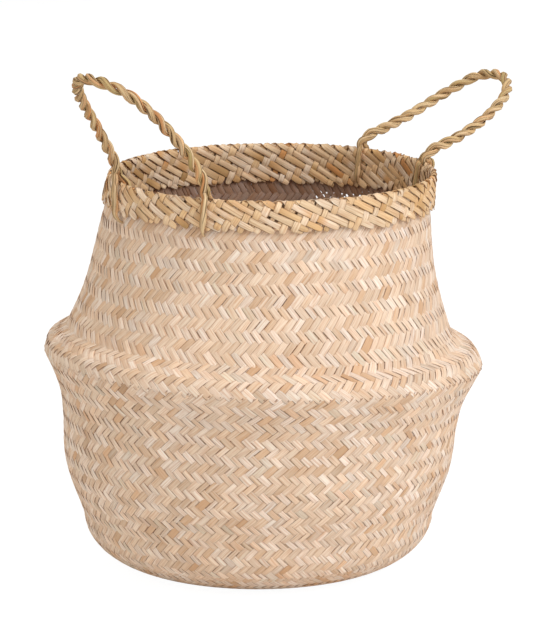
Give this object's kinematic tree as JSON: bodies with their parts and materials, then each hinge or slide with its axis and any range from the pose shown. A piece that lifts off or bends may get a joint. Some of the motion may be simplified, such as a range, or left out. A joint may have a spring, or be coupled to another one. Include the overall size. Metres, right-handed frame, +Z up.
{
  "type": "belly basket",
  "caption": "Plaited grass belly basket with a folded-in upper half, a turned rim band and twisted rope handles that swing on the rim.",
  "frame": {"origin": "centre of the base mat's flat underside", "axes": "+Z up out of the mouth, +X towards the right handle, -X towards the left handle"},
  "size_m": [0.4282, 0.3432, 0.401],
  "materials": {
    "plaited_grass": "matte",
    "rim_grass": "matte",
    "rope_grass": "matte"
  },
  "bodies": {
    "basket": {"base_mat": "plaited_grass", "lower_wall": "plaited_grass", "upper_wall": "plaited_grass", "rim_inner_band": "rim_grass", "rim_outer_band": "rim_grass", "rim_rolled_edge": "rim_grass", "handle_right_first_leg_outer": "rope_grass", "handle_right_first_leg_inner": "rope_grass", "handle_right_second_leg_outer": "rope_grass", "handle_right_second_leg_inner": "rope_grass", "handle_left_first_leg_outer": "rope_grass", "handle_left_first_leg_inner": "rope_grass", "handle_left_second_leg_outer": "rope_grass", "handle_left_second_leg_inner": "rope_grass"},
    "handle_right": {"handle_right_ply_a": "rope_grass", "handle_right_ply_b": "rope_grass"},
    "handle_left": {"handle_left_ply_a": "rope_grass", "handle_left_ply_b": "rope_grass"}
  },
  "joints": [
    {"name": "right_handle_swing", "type": "hinge", "parent": "basket", "child": "handle_right", "pos_m": [0.12711, -0.01731, 0.31896], "axis": [0.0871, 0.9955, 0.0362], "range_deg": [-124, 18]},
    {"name": "left_handle_swing", "type": "hinge", "parent": "basket", "child": "handle_left", "pos_m": [-0.10796, -0.01338, 0.31746], "axis": [0.0558, -0.9978, -0.0353], "range_deg": [-107, 43]}
  ]
}
